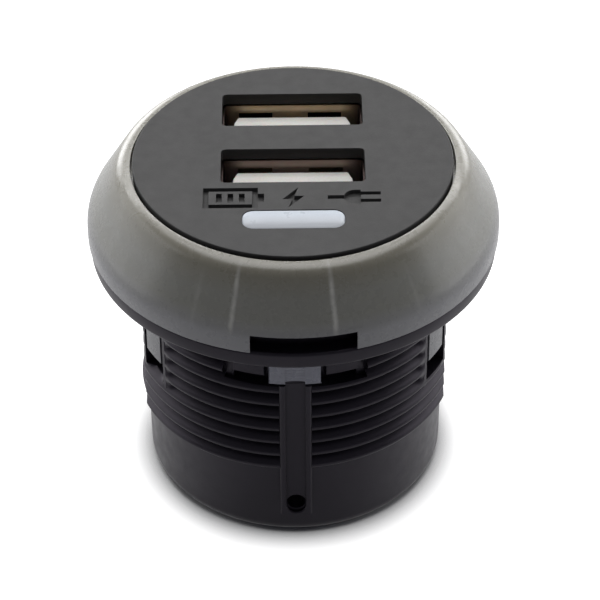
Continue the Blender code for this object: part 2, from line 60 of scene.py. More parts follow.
# Sizes of the detailed pieces, as in the CAD source
FIT = 0.0003
FACE_THICKNESS = 0.0011
FACE_FIT = 0.0002
RIM_ROUNDING = 0.0017
RIM_TURN = 58.0              # degrees, steepness of the flank
RIM_CORNER = 0.00004         # rounding of the rim's inner corner
FLANK_FILLET = 0.0030
RING_HEIGHT = 0.0068
RING_WALL = 0.0014
SKIRT_HEIGHT = 0.00185
SKIRT_DROP = 0.00025         # skirt reaches this much closer to the flange
SKIRT_LIP = 0.0002           # skirt's bore ends this far below the flank
SHELF_THICKNESS = 0.0012
SHELF_RADIUS = 0.0141
SHELF_SHARE = 0.2            # of the ring's wall, from the flank's top to the shelf's corner
NOTCH_WIDTH = 0.0092
NOTCH_X = 0.00075
NOTCH_REACH = 0.0160         # how close the notch comes to the axis
LEG_INNER = 0.0139
LEG_WALL = 0.00095
LEG_WIDTH = 0.0047
LEG_ROOT = 0.0003            # from the shelf's top down to a leg's root
SIDE_LEG_WIDTH = 0.0028
SIDE_LEG_ANGLES = (60.0, 120.0, -60.0, -120.0)
FRONT_LEG_REACH = 0.0050
RECESS_DEPTH = 0.00012       # recess down the front leg
NOTCH_RISE = 0.00042         # notch over the rail
NOTCH_ARCH = 0.00014
SIDE_LEG_REACH = 0.0078
LEG_POCKET = 0.0016          # room below a side leg
COLLAR_RADIUS = 0.0135
BORE_RADIUS = 0.0124
STEP_HEIGHT = 0.0013
FLANGE_THICKNESS = 0.0016
FLANGE_EDGE = 0.0003         # rounding of the flange
THREAD_RADIUS = 0.0150
THREAD_DEPTH = 0.0008
THREAD_PITCH = 0.0015
THREAD_START = 0.0008        # thread starts this far below the pilot's end
THREAD_LEAD = 0.0005         # height in which it grows out of the pilot
CREST_START = 0.00932        # height of the lowest crest at the front
NECK_LENGTH = 0.0004
NECK_BLEND = 0.0003
FLAT_DEPTH = 0.00115
FLAT_START = 0.35            # pitches from the pilot's end down to the flats' end
PILOT_RADIUS = 0.0139
PILOT_LENGTH = 0.0093
PILOT_PLAIN = 0.6            # pitches from the pilot's end down to its plain part
REAR_WALL = 0.0016
REAR_ROUNDING = 0.0012
SHROUD_DEPTH = 0.0076
SHROUD_EDGE = 0.0002
BULKHEAD = 0.0016
LEDGE = 0.0010
LEDGE_Z = 0.0154
RELIEF_ANGLE = 25.5
RELIEF_REACH = 0.0053
PAD_ANGLES = (10.6, 22.8)
PAD_REACH = 0.0044
PAD_RADIUS = 0.0145
PAD_STEP_RADIUS = 0.0142     # step between a pad and the thread
PAD_STEP_LAP = 0.4           # degrees by which it runs into both
JAMB_ANGLE = 52.7            # upright rib at the front edge of a side window
JAMB_HALF = 1.0
JAMB_INSET = 0.0001
JAMB_FOOT = 0.0007
RUN_OUTS = (JAMB_ANGLE, 67.0, 113.0, 180.0 - JAMB_ANGLE)  # thread levels off beside a window
RUN_OUT = 3.0                # degrees it takes
RUN_OUT_RISE = 0.0006        # height it takes above the rib's foot
RAIL_WIDTH = 0.0029
RAIL_DEPTH = 0.0024
RAIL_REAR = 0.0034
RAIL_EDGE = 0.00022
RAIL_GAP = 0.00006           # rail's top to the front leg
RAIL_SEAT_SHIFT = 0.0008     # seat cut for the rail reaches this far past the thread
RAIL_SEAT_SLACK = 0.00002    # and is this much narrower, so that the rail joins on
GROOVE_WIDTH = 0.00176
GROOVE_DEPTH = 0.0005
KEY_HOLE = 0.00083
KEY_HOLE_Z = 0.0045
BLADE_X = 0.004216
BLADE_WIDTH = 0.0063
BLADE_SHEET = 0.0008
SNAP_WIDTH = 0.0040
SNAP_REACH = 0.0045
SNAP_WINDOW = 0.0018
SNAP_DEPTH = 0.0042
SYMBOL_Y = -0.00595
SYMBOL_HEIGHT = 0.0029
SYMBOL_STROKE = 0.00050
SYMBOL_DEPTH = 0.00040
BATTERY_X = (-0.0079, -0.0031)
PLUG_X = (0.0044, 0.0059)    # plug's body
BAR_LENGTH = 0.00893         # indicator bar, which fills its window
BAR_WIDTH = 0.00262
BAR_CORNER = 0.00100
BAR_Y = -0.00905
BAR_EDGE = 0.00012           # bar's edge below the face
BAR_CROWN = 0.00022          # crown above its edge
BAR_RIDGE = 0.0001           # half width of the crown's flat top
BAR_DEPTH = 0.0008
STEM_LENGTH = 0.0050
STEM_WIDTH = 0.0020
STEM_CORNER = 0.0006

# Rounding of edges
SOFT_EDGE = 0.00010          # moulded edges
FACE_EDGE = 0.00004
SHELL_EDGE = 0.00006
TONGUE_EDGE = 0.00012
CONTACT_EDGE = 0.00004
BOARD_EDGE = 0.00005

# How far cutters and joined blocks reach past the faces they work on
PASS = 0.0005
LONG_PASS = 0.001
LAP = 0.0004
TOUCH = 0.0001

# Fineness of the meshes
ROUND_STEPS = 240
RIM_STEPS = 12
CROWN_STEPS = 8
ROWS_PER_PITCH = 16
SHARP_ANGLE = 35.0           # degrees; steeper edges are rounded or stay sharp
FLAT_ANGLE = 0.5             # degrees; faces closer than this are joined up
LEVEL_NORMAL = 0.9999        # faces that look up more than this are shaded flat

# Heights and radii worked out from the frame
face_z = face_high.z
face_under = face_z - FACE_THICKNESS
rim_z = ring_high.z
ring_radius = ring_high.x
ring_z = rim_z - RING_HEIGHT
skirt_z = ring_z - SKIRT_DROP
flank_low = skirt_z + SKIRT_HEIGHT
ring_bore = face_high.x + FACE_FIT
shelf_z = housing_high.z
flange_radius = housing_high.x
flange_top = ring_z - FIT
flange_z = flange_top - FLANGE_THICKNESS
step_top = flange_top + STEP_HEIGHT
skirt_bore = ring_radius - RING_WALL
leg_outer = LEG_INNER + LEG_WALL
shroud_radius = PILOT_RADIUS - REAR_WALL
relief_z = flange_z - RELIEF_REACH
jamb_low = flange_z - SIDE_LEG_REACH - FIT - LEG_POCKET - JAMB_FOOT
jamb_radius = THREAD_RADIUS - JAMB_INSET

# Colours
WHITE = (1.0, 1.0, 1.0, 1.0)
HOUSING_COLOUR = (0.0095, 0.0082, 0.0128)
HOUSING_GLEAM = (0.93, 0.85, 1.0, 1.0)
RING_COLOUR = (0.194, 0.193, 0.174)
# painted warm glow of light through the translucent rim, in a band below its top
RIM_GLOW_PAINT = (0.174, 0.163, 0.128)
# painted cool reflected light on the skirt, which also lightens it
SKIRT_REFLECTION_PAINT = (0.250, 0.250, 0.266)
# painted cool fill light on the front clip leg, which is the ring's plastic
FRONT_LEG_FILL_PAINT = (0.235, 0.240, 0.295)
# painted shade on the side clip legs
SIDE_LEG_SHADE_PAINT = (0.135, 0.135, 0.148)
FLOW_LINE_COLOUR = (0.46, 0.455, 0.43)
FACE_COLOUR = (0.038, 0.0375, 0.0375)
BAR_COLOUR = (0.500, 0.545, 0.605)
# painted shade of the bar
BAR_FRONT_SHADE_PAINT = (0.365, 0.385, 0.42)  # towards the bar's front
TONGUE_COLOUR = (0.97, 0.945, 0.88)
SHELL_COLOUR = (0.57, 0.465, 0.33)
# painted shade in the corners at the shells' short ends
SHELL_END_SHADE_PAINT = (0.040, 0.029, 0.027)
# painted shade on the front port's shell, the same part as the rear one
SHELL_FRONT_SHADE_PAINT = (0.34, 0.27, 0.235)  # front port
CONTACT_COLOUR = (0.86, 0.62, 0.28)
MASK_COLOUR = (0.015, 0.10, 0.04)
TRACK_COLOUR = (0.03, 0.20, 0.08)
PAD_COLOUR = (0.62, 0.60, 0.56)
CHIP_COLOUR = (0.022, 0.022, 0.024)
FERRITE_COLOUR = (0.075, 0.075, 0.082)
CAN_COLOUR = (0.80, 0.80, 0.82)
FUSE_COLOUR = (0.62, 0.60, 0.55)
LED_COLOUR = (0.86, 0.84, 0.62)
TIN_COLOUR = (0.74, 0.70, 0.60)
TIN_STAIN = (0.60, 0.50, 0.34)

# Grain: scales are features per metre, depths are metres
NOISE_ROUGHNESS = 0.55
DRIFT_SCALE = 170.0          # slow drift of a plastic's colour
SPECK_SCALE = 5200.0         # fine specks in it
SPECK_TINT = 0.07
SPECK_SHARE = 0.35           # weight of the specks against the drift
GLOSS_SCALE = 900.0          # patches of more and less gloss
GLOSS_SPREAD = 0.05
SWELL_SCALE = 420.0          # slow waves of the surface
SWELL_DEPTH = 4e-6
CLOUD_SCALE = 260.0          # clouds in a metal's colour
POLISH_SCALE = 700.0
POLISH_SPREAD = (-0.06, 0.09)
CELL_SCALE = 7000.0          # eroded cells of the face
CELL_DEPTH = 4e-6
CELL_STRENGTH = 0.6
TRACK_SCALE = 520.0
TRACK_WIDTH = 0.06
TRACK_DEPTH = 1.5e-5
PAD_SCALE = 650.0
PAD_EDGE = (0.16, 0.20)
MASK_SCALE = 3500.0
MASK_DEPTH = 2e-6

# Ring; a flow line is its angle, half width in radians, weight, lowest and highest place
FLOW_LINES = ((-17.3, 0.017, 0.9, flank_low - 0.0003, rim_z + 0.0002),
              (11.0, 0.018, 0.9, flank_low - 0.0003, rim_z + 0.0003),
              (-28.5, 0.014, 0.25, flank_low - 0.0003, rim_z - 0.0008),
              (35.5, 0.014, 0.25, flank_low - 0.0003, rim_z - 0.0008))
LINE_START = 0.0008          # height in which a line begins
LINE_END = 0.0016            # and ends
LINE_WOBBLE = 0.010          # radians
WOBBLE_SCALE = 500.0
LINE_DEPTH = 1.2e-5
PATCH_SCALE = 1500.0
# band of the painted rim glow
RIM_GLOW_BAND = (0.0024, 0.0006)  # below the rim's top
# band of the painted skirt reflection
SKIRT_REFLECTION_BAND = (0.0004, 0.0012)  # below and above the flank's foot
# weight of the painted rim glow and of the painted skirt reflection
PAINTED_BAND_WEIGHT = 0.9
# ring's colour to the painted light on the clip legs, below the flange
LEG_BLEND = 0.0002           # ring's colour to the legs' colour
# from the front leg's painted fill to the side legs' painted shade
SIDE_LEG_SHADE_X = (0.004, 0.008)  # front leg's colour to the side legs' colour
LEG_BAND = 0.00032           # spacing of the lines in the front leg's recess
LEG_BAND_EDGE = 0.0001
LEG_BAND_DEPTH = 1.0e-5

# Painted shade along the bar and the shells
BAR_FRONT_SHADE_Y = (BAR_Y - 0.0008, BAR_Y + 0.0006)
SHELL_END_SHADE_X = (0.0044, 0.0061)
SHELL_FRONT_SHADE_Y = (0.0020, 0.0040)

# Camera, fitted to the photo
CAMERA_TARGET = Vector((0.000549, 0.0, 0.016602))
CAMERA_DISTANCE = 0.231115
CAMERA_ELEVATION = 39.1485
CAMERA_ROLL = -0.42
CAMERA_AZIMUTH = -0.3
CAMERA_LENS = 148.628
CAMERA_SENSOR = 36.0
CAMERA_NEAR = 0.01
CAMERA_FAR = 10.0

# Studio; the places of paired lamps are those on the right
LAMP_AIM = Vector((0.0, 0.0, 0.02))
KEY_PLACE = (0.0, 0.11, 0.57)
KEY_SIZE = (0.55, 0.42)
KEY_WATTS = 2.0
BACK_PLACE = (0.0, 0.46, 0.43)  # strip that makes the rim's highlight
BACK_SIZE = (0.90, 0.08)
BACK_WATTS = 1.8
SIDE_PLACE = (0.44, 0.10, 0.17)
SIDE_SIZE = (0.45, 0.36)
SIDE_WATTS = {"left": 0.60, "right": 0.76}
REAR_PLACE = (0.28, 0.56, 0.12)
REAR_SIZE = (0.30, 0.25)
REAR_WATTS = {"left": 1.35, "right": 1.0}
FILL_COLOUR = (0.74, 0.76, 1.0)
FILL_STRENGTH = 0.05
GLOSS_FRONT = -0.1           # direction along Y where gloss starts to see white
GLOSS_BACK = 0.8
GLOSS_DIM = 0.1
FLOOR_SIZE = 3.0
FLOOR_THICKNESS = 0.002
FLOOR_ALBEDO = 0.55
FLOOR_ROUGHNESS = 0.9
FLOOR_GLOW = 1.0             # for the camera
FLOOR_GLOSS = 0.32           # for gloss, behind and beside the socket
GLOSS_NEAR = -0.030          # place along Y where the floor's gloss glow starts
GLOSS_FAR = -0.006
REAR_GLOSS = 0.25            # more of it further behind
REAR_NEAR = 0.03
REAR_FAR = 0.09
SHADOW_REACH = 0.0034
SHADOW_SAMPLES = 16
SHADOW_DARK = 0.44           # openness where the glow starts
SHADOW_FREE = 0.96


def clamped(value):
    """Value held between 0 and 1."""
    return min(1.0, max(0.0, value))


def outline_corners(corners, steps=4):
    """Closed outline from (x, y, radius) corners, each rounded to its radius."""
    points = []
    for i, (x, y, radius) in enumerate(corners):
        here = Vector((x, y))
        if not radius:
            points.append((x, y))
            continue
        before = (Vector(corners[i - 1][:2]) - here).normalized()
        after = (Vector(corners[(i + 1) % len(corners)][:2]) - here).normalized()
        half = before.angle(after) / 2
        centre = here + (before + after).normalized() * (radius / math.sin(half))
        start = here + before * (radius / math.tan(half)) - centre
        end = here + after * (radius / math.tan(half)) - centre
        turn = math.atan2(start.x * end.y - start.y * end.x, start.dot(end))
        for k in range(steps + 1):
            p = centre + Matrix.Rotation(turn * k / steps, 2) @ start
            points.append((p.x, p.y))
    return points


def shade_smooth(mesh):
    """Smooth shading, with sharp edges where the surface turns steeply."""
    mesh.shade_smooth()
    mesh.set_sharp_from_angle(angle=math.radians(SHARP_ANGLE))


def link_mesh(name, bm, mat=None):
    """Turn a bmesh into a linked object."""
    bmesh.ops.recalc_face_normals(bm, faces=bm.faces)
    mesh = bpy.data.meshes.new(name)
    bm.to_mesh(mesh)
    bm.free()
    obj = bpy.data.objects.new(name, mesh)
    bpy.context.scene.collection.objects.link(obj)
    if mat:
        mesh.materials.append(mat)
    shade_smooth(mesh)
    return obj


def bake_modifiers(obj):
    """Replace an object's mesh by what its modifiers make of it."""
    graph = bpy.context.evaluated_depsgraph_get()
    graph.update()
    mesh = bpy.data.meshes.new_from_object(obj.evaluated_get(graph), depsgraph=graph)
    obj.modifiers.clear()
    obj.data = mesh
    shade_smooth(mesh)
    return obj


def loops_mesh(name, loops, mat=None, closed=True):
    """Skin loops of points; a closed pile joins last to first, an open one is capped."""
    bm = bmesh.new()
    rows = [[bm.verts.new(p) for p in loop] for loop in loops]
    pairs = list(zip(rows, rows[1:]))
    on_axis = [all(math.hypot(p[0], p[1]) < 1e-9 for p in loop) for loop in loops]
    if closed:
        pairs.append((rows[-1], rows[0]))
        on_axis.append(on_axis[0])
    for k, (low, high) in enumerate(pairs):
        if on_axis[k] and on_axis[k + 1]:
            continue
        for i in range(len(low)):
            bm.faces.new((low[i - 1], low[i], high[i], high[i - 1]))
    if not closed:
        bm.faces.new(rows[0])
        bm.faces.new(rows[-1])
    bmesh.ops.remove_doubles(bm, verts=bm.verts, dist=1e-8)
    return link_mesh(name, bm, mat)


def circle_loop(radius, z):
    """Loop of points round Z, from the front towards +X."""
    turn = 2 * math.pi / ROUND_STEPS
    return [(radius * math.sin(i * turn), -radius * math.cos(i * turn), z)
            for i in range(ROUND_STEPS)]


def prism(name, outline, z0, z1, mat=None):
    """Extrude an (x, y) outline from z0 to z1."""
    loops = [[(x, y, z) for x, y in outline] for z in (z0, z1)]
    return loops_mesh(name, loops, mat, closed=False)


def front_prism(name, loops):
    """Skin (outline, y) pairs, where each outline is in (x, z)."""
    points = [[(x, y, z) for x, z in outline] for outline, y in loops]
    return loops_mesh(name, points, closed=False)


def wedge(name, centre, half, stations, z0, z1, steps=24):
    """Block round Z between two angles.

    Each station is (radius, grow): the block's sides, top and bottom are grown by
    that much there, so a negative last one is a chamfer and a positive one a flare.
    """
    loops = []
    for i in range(steps + 1):
        side = 2.0 * i / steps - 1.0
        low = []
        high = []
        for radius, grow in stations:
            angle = math.radians(centre + side * (half + math.degrees(grow / radius)))
            x = radius * math.sin(angle)
            y = -radius * math.cos(angle)
            low.append((x, y, z0 - grow))
            high.append((x, y, z1 + grow))
        loops.append(low + high[::-1])
    return loops_mesh(name, loops, closed=False)


def rectangle(width, depth, x=0.0, y=0.0):
    """Corners of a rectangle centred on (x, y)."""
    w = width / 2
    d = depth / 2
    return [(x - w, y - d), (x + w, y - d), (x + w, y + d), (x - w, y + d)]


def stadium(width, z0, z1, steps=12):
    """Upright slot outline in (x, z) with round ends."""
    r = width / 2
    points = []
    for centre, first in ((z1 - r, 0.0), (z0 + r, 180.0)):
        for i in range(steps + 1):
            a = math.radians(first + 180.0 * i / steps)
            points.append((r * math.cos(a), centre + r * math.sin(a)))
    return points


def disc(radius, z, steps=32):
    """Circle outline in (x, z)."""
    turn = 2 * math.pi / steps
    return [(radius * math.cos(i * turn), z + radius * math.sin(i * turn)) for i in range(steps)]


def arch(width, z0, z1, rise, steps=10):
    """Outline in (x, z) with a gently arched top."""
    half = width / 2
    turn = math.pi / steps
    top = [(half * math.cos(k * turn), z1 - rise + rise * math.sin(k * turn))
           for k in range(steps + 1)]
    return [(-half, z0), (half, z0)] + top


def half_angle(width, radius):
    """Degrees that half a width takes at a radius."""
    return math.degrees(math.asin(width / 2 / radius))


def combine(target, tools, operation):
    """Cut or join several tools with one exact Boolean, and delete them."""
    group = bpy.data.collections.new("tools")
    for tool in tools:
        bpy.context.scene.collection.objects.unlink(tool)
        group.objects.link(tool)
    bpy.context.scene.collection.children.link(group)
    mod = target.modifiers.new("combine", "BOOLEAN")
    mod.operation = operation
    mod.operand_type = "COLLECTION"
    mod.collection = group
    mod.solver = "EXACT"
    bake_modifiers(target)
    for tool in tools:
        bpy.data.objects.remove(tool)
    bpy.data.collections.remove(group)
    return target


def copy_of_node(node, name, mat):
    """New object with the CAD node's shape, its flat faces joined up again."""
    bm = bmesh.new()
    bm.from_mesh(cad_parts[node].data)
    bmesh.ops.remove_doubles(bm, verts=bm.verts, dist=1e-7)
    bmesh.ops.dissolve_limit(bm, angle_limit=math.radians(FLAT_ANGLE), verts=bm.verts,
                             edges=bm.edges)
    return link_mesh(name, bm, mat)


def soften(obj, width, segments=2):
    """Round the sharp edges of an object."""
    mod = obj.modifiers.new("soften", "BEVEL")
    mod.width = width
    mod.segments = segments
    mod.limit_method = "ANGLE"
    mod.angle_limit = math.radians(SHARP_ANGLE)
    mod.use_clamp_overlap = True
    return bake_modifiers(obj)


def settle(obj, node):
    """Put a finished piece on the body, in place of its CAD node."""
    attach(obj, BODY)
    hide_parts(node)


def finish_copy(node, name, mat, width, segments=2):
    """Put a copy of a CAD node with rounded edges in the node's place."""
    settle(soften(copy_of_node(node, name, mat), width, segments), node)


class Nodes:
    """Adds nodes to a tree, with their inputs set or linked."""

    def __init__(self, tree):
        self.tree = tree

    def feed(self, socket, value):
        """Link a socket, or set its value."""
        if isinstance(value, bpy.types.NodeSocket):
            self.tree.links.new(value, socket)
        else:
            socket.default_value = value

    def node(self, kind, **inputs):
        """New node; an input's name is written with _ for each space."""
        made = self.tree.nodes.new(kind)
        for key, value in inputs.items():
            self.feed(made.inputs[key.replace("_", " ")], value)
        return made

    def math(self, operation, a, b=0.0):
        """Output of a Math node."""
        made = self.tree.nodes.new("ShaderNodeMath")
        made.operation = operation
        for socket, value in zip(made.inputs, (a, b)):
            self.feed(socket, value)
        return made.outputs[0]

    def spread(self, value, low, high, out_low, out_high, curve="LINEAR"):
        """Map a value's range to another one, clamped."""
        made = self.node("ShaderNodeMapRange", Value=value, From_Min=low, From_Max=high,
                         To_Min=out_low, To_Max=out_high)
        made.interpolation_type = curve
        return made.outputs["Result"]

    def axes(self, vector):
        """X, Y and Z of a vector."""
        return self.node("ShaderNodeSeparateXYZ", Vector=vector).outputs

    def shiny(self, path):
        """1 for rays of gloss and transmission, by the outputs of a Light Path node."""
        return self.math("MAXIMUM", path["Is Glossy Ray"], path["Is Transmission Ray"])


class Shade(Nodes):
    """Builds one procedural material round a Principled shader."""

    def __init__(self, name, colour, roughness, **values):
        self.mat = bpy.data.materials.new(name)
        self.mat.use_nodes = True
        super().__init__(self.mat.node_tree)
        self.shader = self.tree.nodes["Principled BSDF"]
        self.shader.inputs["Base Color"].default_value = (*colour, 1.0)
        self.shader.inputs["Roughness"].default_value = roughness
        for key, value in values.items():
            self.shader.inputs[key.replace("_", " ")].default_value = value
        self.place = self.node("ShaderNodeTexCoord").outputs["Object"]
        self.relief = None

    def noise(self, scale, detail=3.0, place=None):
        """Noise from 0 to 1, with features of about 1 / scale metres."""
        made = self.node("ShaderNodeTexNoise", Vector=place or self.place, Scale=scale,
                         Detail=detail, Roughness=NOISE_ROUGHNESS)
        return made.outputs["Fac"]

    def stretched(self, x, y, z):
        """Object coordinates scaled along each axis."""
        made = self.node("ShaderNodeMapping", Vector=self.place, Scale=(x, y, z))
        return made.outputs["Vector"]

    def tint(self, factor, first, second):
        """Colour between two, by a factor."""
        made = self.tree.nodes.new("ShaderNodeMix")
        made.data_type = "RGBA"
        self.feed(made.inputs["Factor"], factor)
        for socket, value in zip((made.inputs[6], made.inputs[7]), (first, second)):
            linked = isinstance(value, bpy.types.NodeSocket)
            self.feed(socket, value if linked else (*value, 1.0))
        return made.outputs[2]

    def colour(self):
        """Socket that feeds the shader's colour."""
        return self.shader.inputs["Base Color"].links[0].from_socket

    def set_colour(self, socket):
        """Feed the shader's colour."""
        self.tree.links.new(socket, self.shader.inputs["Base Color"])

    def set_roughness(self, socket):
        """Feed the shader's roughness."""
        self.tree.links.new(socket, self.shader.inputs["Roughness"])

    def bump(self, height, depth, strength=1.0):
        """Add a layer of relief, in metres."""
        made = self.node("ShaderNodeBump", Height=height, Strength=strength, Distance=depth)
        if self.relief:
            self.tree.links.new(self.relief, made.inputs["Normal"])
        self.relief = made.outputs["Normal"]
        self.tree.links.new(self.relief, self.shader.inputs["Normal"])


def scaled(colour, factor):
    """Colour made lighter or darker."""
    return tuple(min(1.0, c * factor) for c in colour)


def moulded(name, colour, roughness, grain=7000.0, depth=3e-6, uneven=0.08, **values):
    """Moulded plastic: fine grain, uneven gloss and a slight drift of the colour."""
    shade = Shade(name, colour, roughness, **values)
    drift = shade.spread(shade.noise(DRIFT_SCALE, detail=2.0), 0.3, 0.7, 0.0, 1.0)
    body = shade.tint(drift, scaled(colour, 1.0 - uneven), scaled(colour, 1.0 + uneven))
    speck = shade.spread(shade.noise(SPECK_SCALE, detail=2.0), 0.35, 0.65, 0.0, 1.0)
    fine = shade.tint(speck, scaled(colour, 1.0 - SPECK_TINT), scaled(colour, 1.0 + SPECK_TINT))
    shade.set_colour(shade.tint(SPECK_SHARE, body, fine))
    gloss = shade.noise(GLOSS_SCALE, detail=4.0)
    shade.set_roughness(shade.spread(gloss, 0.3, 0.7, roughness - GLOSS_SPREAD,
                                     roughness + GLOSS_SPREAD))
    shade.bump(shade.noise(grain, detail=4.0), depth)
    shade.bump(shade.noise(SWELL_SCALE, detail=2.0), SWELL_DEPTH)
    return shade


def metal(name, colour, roughness, grain=(900.0, 900.0, 90.0), depth=1.5e-6, stain=None):
    """Plated or rolled metal: drawn lines, cloudy gloss and a faint stain."""
    shade = Shade(name, colour, roughness, Metallic=1.0)
    cloud = shade.spread(shade.noise(CLOUD_SCALE, detail=4.0), 0.35, 0.7, 0.0, 1.0)
    shade.set_colour(shade.tint(cloud, colour, stain or scaled(colour, 0.8)))
    smooth, dull_and_shaded = POLISH_SPREAD
    shade.set_roughness(shade.spread(shade.noise(POLISH_SCALE), 0.3, 0.7, roughness + smooth,
                                     roughness + dull_and_shaded))
    lines = shade.noise(6.0, detail=5.0, place=shade.stretched(*grain))
    shade.bump(lines, depth)
    return shade


def housing_material():
    """Black plastic with a cool gleam."""
    return moulded("housing_plastic", HOUSING_COLOUR, 0.36, grain=5200.0, depth=2.6e-6,
                   uneven=0.2, IOR=1.47, Specular_Tint=HOUSING_GLEAM).mat


def flow_lines(shade, x, y, z):
    """Strength of the flow lines down the ring's flank."""
    around = shade.math("ARCTAN2", x, shade.math("MULTIPLY", y, -1.0))
    wave = shade.math("SUBTRACT", shade.noise(WOBBLE_SCALE), 0.5)
    around = shade.math("ADD", around, shade.math("MULTIPLY", wave, LINE_WOBBLE))
    lines = None
    for degrees, width, weight, low, high in FLOW_LINES:
        away = shade.math("ABSOLUTE", shade.math("SUBTRACT", around, math.radians(degrees)))
        line = shade.spread(away, 0.0, width, weight, 0.0)
        begin = shade.spread(z, low, low + LINE_START, 0.0, 1.0)
        end = shade.spread(z, high - LINE_END, high, 1.0, 0.0)
        line = shade.math("MULTIPLY", line, shade.math("MULTIPLY", begin, end))
        lines = line if lines is None else shade.math("MAXIMUM", lines, line)
    patchy = shade.spread(shade.noise(PATCH_SCALE, detail=2.0), 0.35, 0.6, 0.6, 1.0)
    return shade.math("MULTIPLY", lines, patchy)


def ring_colours(shade, x, z, leg):
    """Ring's colour with painted light: warm rim glow, cool skirt reflection, leg fill and leg
    shade.
    """
    glow_low, glow_high = RIM_GLOW_BAND
    rim_glow = shade.spread(z, rim_z - glow_low, rim_z - glow_high, 0.0, PAINTED_BAND_WEIGHT)
    below, above = SKIRT_REFLECTION_BAND
    # painted cool reflected light towards the skirt
    cool = shade.spread(z, flank_low - below, flank_low + above, PAINTED_BAND_WEIGHT, 0.0)
    base = shade.tint(rim_glow, shade.colour(), RIM_GLOW_PAINT)
    base = shade.tint(cool, base, SKIRT_REFLECTION_PAINT)
    # painted fill on the front leg, painted shade on the side legs
    beside = shade.spread(shade.math("ABSOLUTE", x), *SIDE_LEG_SHADE_X, 0.0, 1.0)
    return shade.tint(leg, base, shade.tint(beside, FRONT_LEG_FILL_PAINT, SIDE_LEG_SHADE_PAINT))


def ring_material():
    """Warm grey plastic with fine flow lines, and lines across the front leg's recess."""
    shade = moulded("ring_plastic", RING_COLOUR, 0.28, grain=6500.0, depth=1.4e-6, uneven=0.03,
                    IOR=1.67)
    x, y, z = shade.axes(shade.place)
    lines = flow_lines(shade, x, y, z)
    leg = shade.spread(z, flange_z - LEG_BLEND, flange_z + LEG_BLEND, 1.0, 0.0)
    shade.set_colour(shade.tint(lines, ring_colours(shade, x, z, leg), FLOW_LINE_COLOUR))
    shade.bump(lines, LINE_DEPTH)
    bands = shade.math("SINE", shade.math("MULTIPLY", z, 2 * math.pi / LEG_BAND))
    half = GROOVE_WIDTH / 2
    middle = shade.spread(shade.math("ABSOLUTE", x), half - LEG_BAND_EDGE, half, 1.0, 0.0)
    bands = shade.math("MULTIPLY", shade.math("MULTIPLY", bands, middle), leg)
    shade.bump(bands, LEG_BAND_DEPTH)
    return shade.mat


def face_material():
    """Matt face with a fine spark-eroded grain."""
    shade = moulded("face_plastic", FACE_COLOUR, 0.58, grain=9000.0, depth=6e-6, uneven=0.05,
                    IOR=1.45, Specular_IOR_Level=0.3)
    cells = shade.node("ShaderNodeTexVoronoi", Vector=shade.place, Scale=CELL_SCALE)
    shade.bump(cells.outputs["Distance"], CELL_DEPTH, CELL_STRENGTH)
    return shade.mat


def light_pipe_material():
    """Frosted plastic, with painted shade darkening it towards the front."""
    shade = moulded("frosted_pipe", BAR_COLOUR, 0.32, grain=5200.0, depth=3e-6, uneven=0.02,
                    IOR=1.49)
    front = shade.spread(shade.axes(shade.place)["Y"], *BAR_FRONT_SHADE_Y, 1.0, 0.0)
    shade.set_colour(shade.tint(front, shade.colour(), BAR_FRONT_SHADE_PAINT))
    return shade.mat


def tongue_material():
    """Cream plastic that lets a little light in."""
    return moulded("tongue_plastic", TONGUE_COLOUR, 0.45, grain=4200.0, depth=3e-6,
                   uneven=0.02, Subsurface_Weight=0.15, Subsurface_Scale=0.0005).mat


def shell_material():
    """Plated steel with drawn lines, with painted shade over the front port and at the short ends.
    """
    shade = metal("shell_plating", SHELL_COLOUR, 0.45, grain=(400.0, 400.0, 60.0))
    axes = shade.axes(shade.place)
    # painted shade over the front port's shell
    front = shade.spread(axes["Y"], *SHELL_FRONT_SHADE_Y, 1.0, 0.0)
    # painted shade at the shells' short ends
    side = shade.spread(shade.math("ABSOLUTE", axes["X"]), *SHELL_END_SHADE_X, 0.0, 1.0)
    dull_and_shaded = shade.tint(front, shade.colour(), SHELL_FRONT_SHADE_PAINT)
    shade.set_colour(shade.tint(side, dull_and_shaded, SHELL_END_SHADE_PAINT))
    return shade.mat


def board_material():
    """Green solder mask with tracks under it and tinned pads."""
    shade = Shade("solder_mask", MASK_COLOUR, 0.3, Coat_Weight=0.5, Coat_Roughness=0.15)
    tracks = shade.node("ShaderNodeTexBrick", Vector=shade.place, Scale=TRACK_SCALE,
                        Mortar_Size=TRACK_WIDTH).outputs["Fac"]
    over = shade.tint(tracks, MASK_COLOUR, TRACK_COLOUR)
    pads = shade.node("ShaderNodeTexVoronoi", Vector=shade.place, Scale=PAD_SCALE)
    pad = shade.spread(pads.outputs["Distance"], *PAD_EDGE, 1.0, 0.0)
    shade.set_colour(shade.tint(pad, over, PAD_COLOUR))
    shade.bump(tracks, TRACK_DEPTH)
    shade.bump(shade.noise(MASK_SCALE), MASK_DEPTH)
    return shade.mat


def make_camera():
    """Camera at the photo's angle."""
    data = bpy.data.cameras.new("camera")
    data.lens = CAMERA_LENS
    data.sensor_width = CAMERA_SENSOR
    data.clip_start = CAMERA_NEAR
    data.clip_end = CAMERA_FAR
    camera = bpy.data.objects.new("camera", data)
    bpy.context.scene.collection.objects.link(camera)
    lift = math.radians(CAMERA_ELEVATION)
    back = Vector((0.0, -math.cos(lift), math.sin(lift)))
    turn = Matrix.Rotation(math.radians(90) - lift, 4, "X")
    roll = Matrix.Rotation(math.radians(CAMERA_ROLL), 4, "Z")
    swing = Matrix.Rotation(math.radians(CAMERA_AZIMUTH), 4, "Z")
    reach = Matrix.Translation(back * CAMERA_DISTANCE)
    camera.matrix_world = Matrix.Translation(CAMERA_TARGET) @ swing @ reach @ turn @ roll
    bpy.context.scene.camera = camera


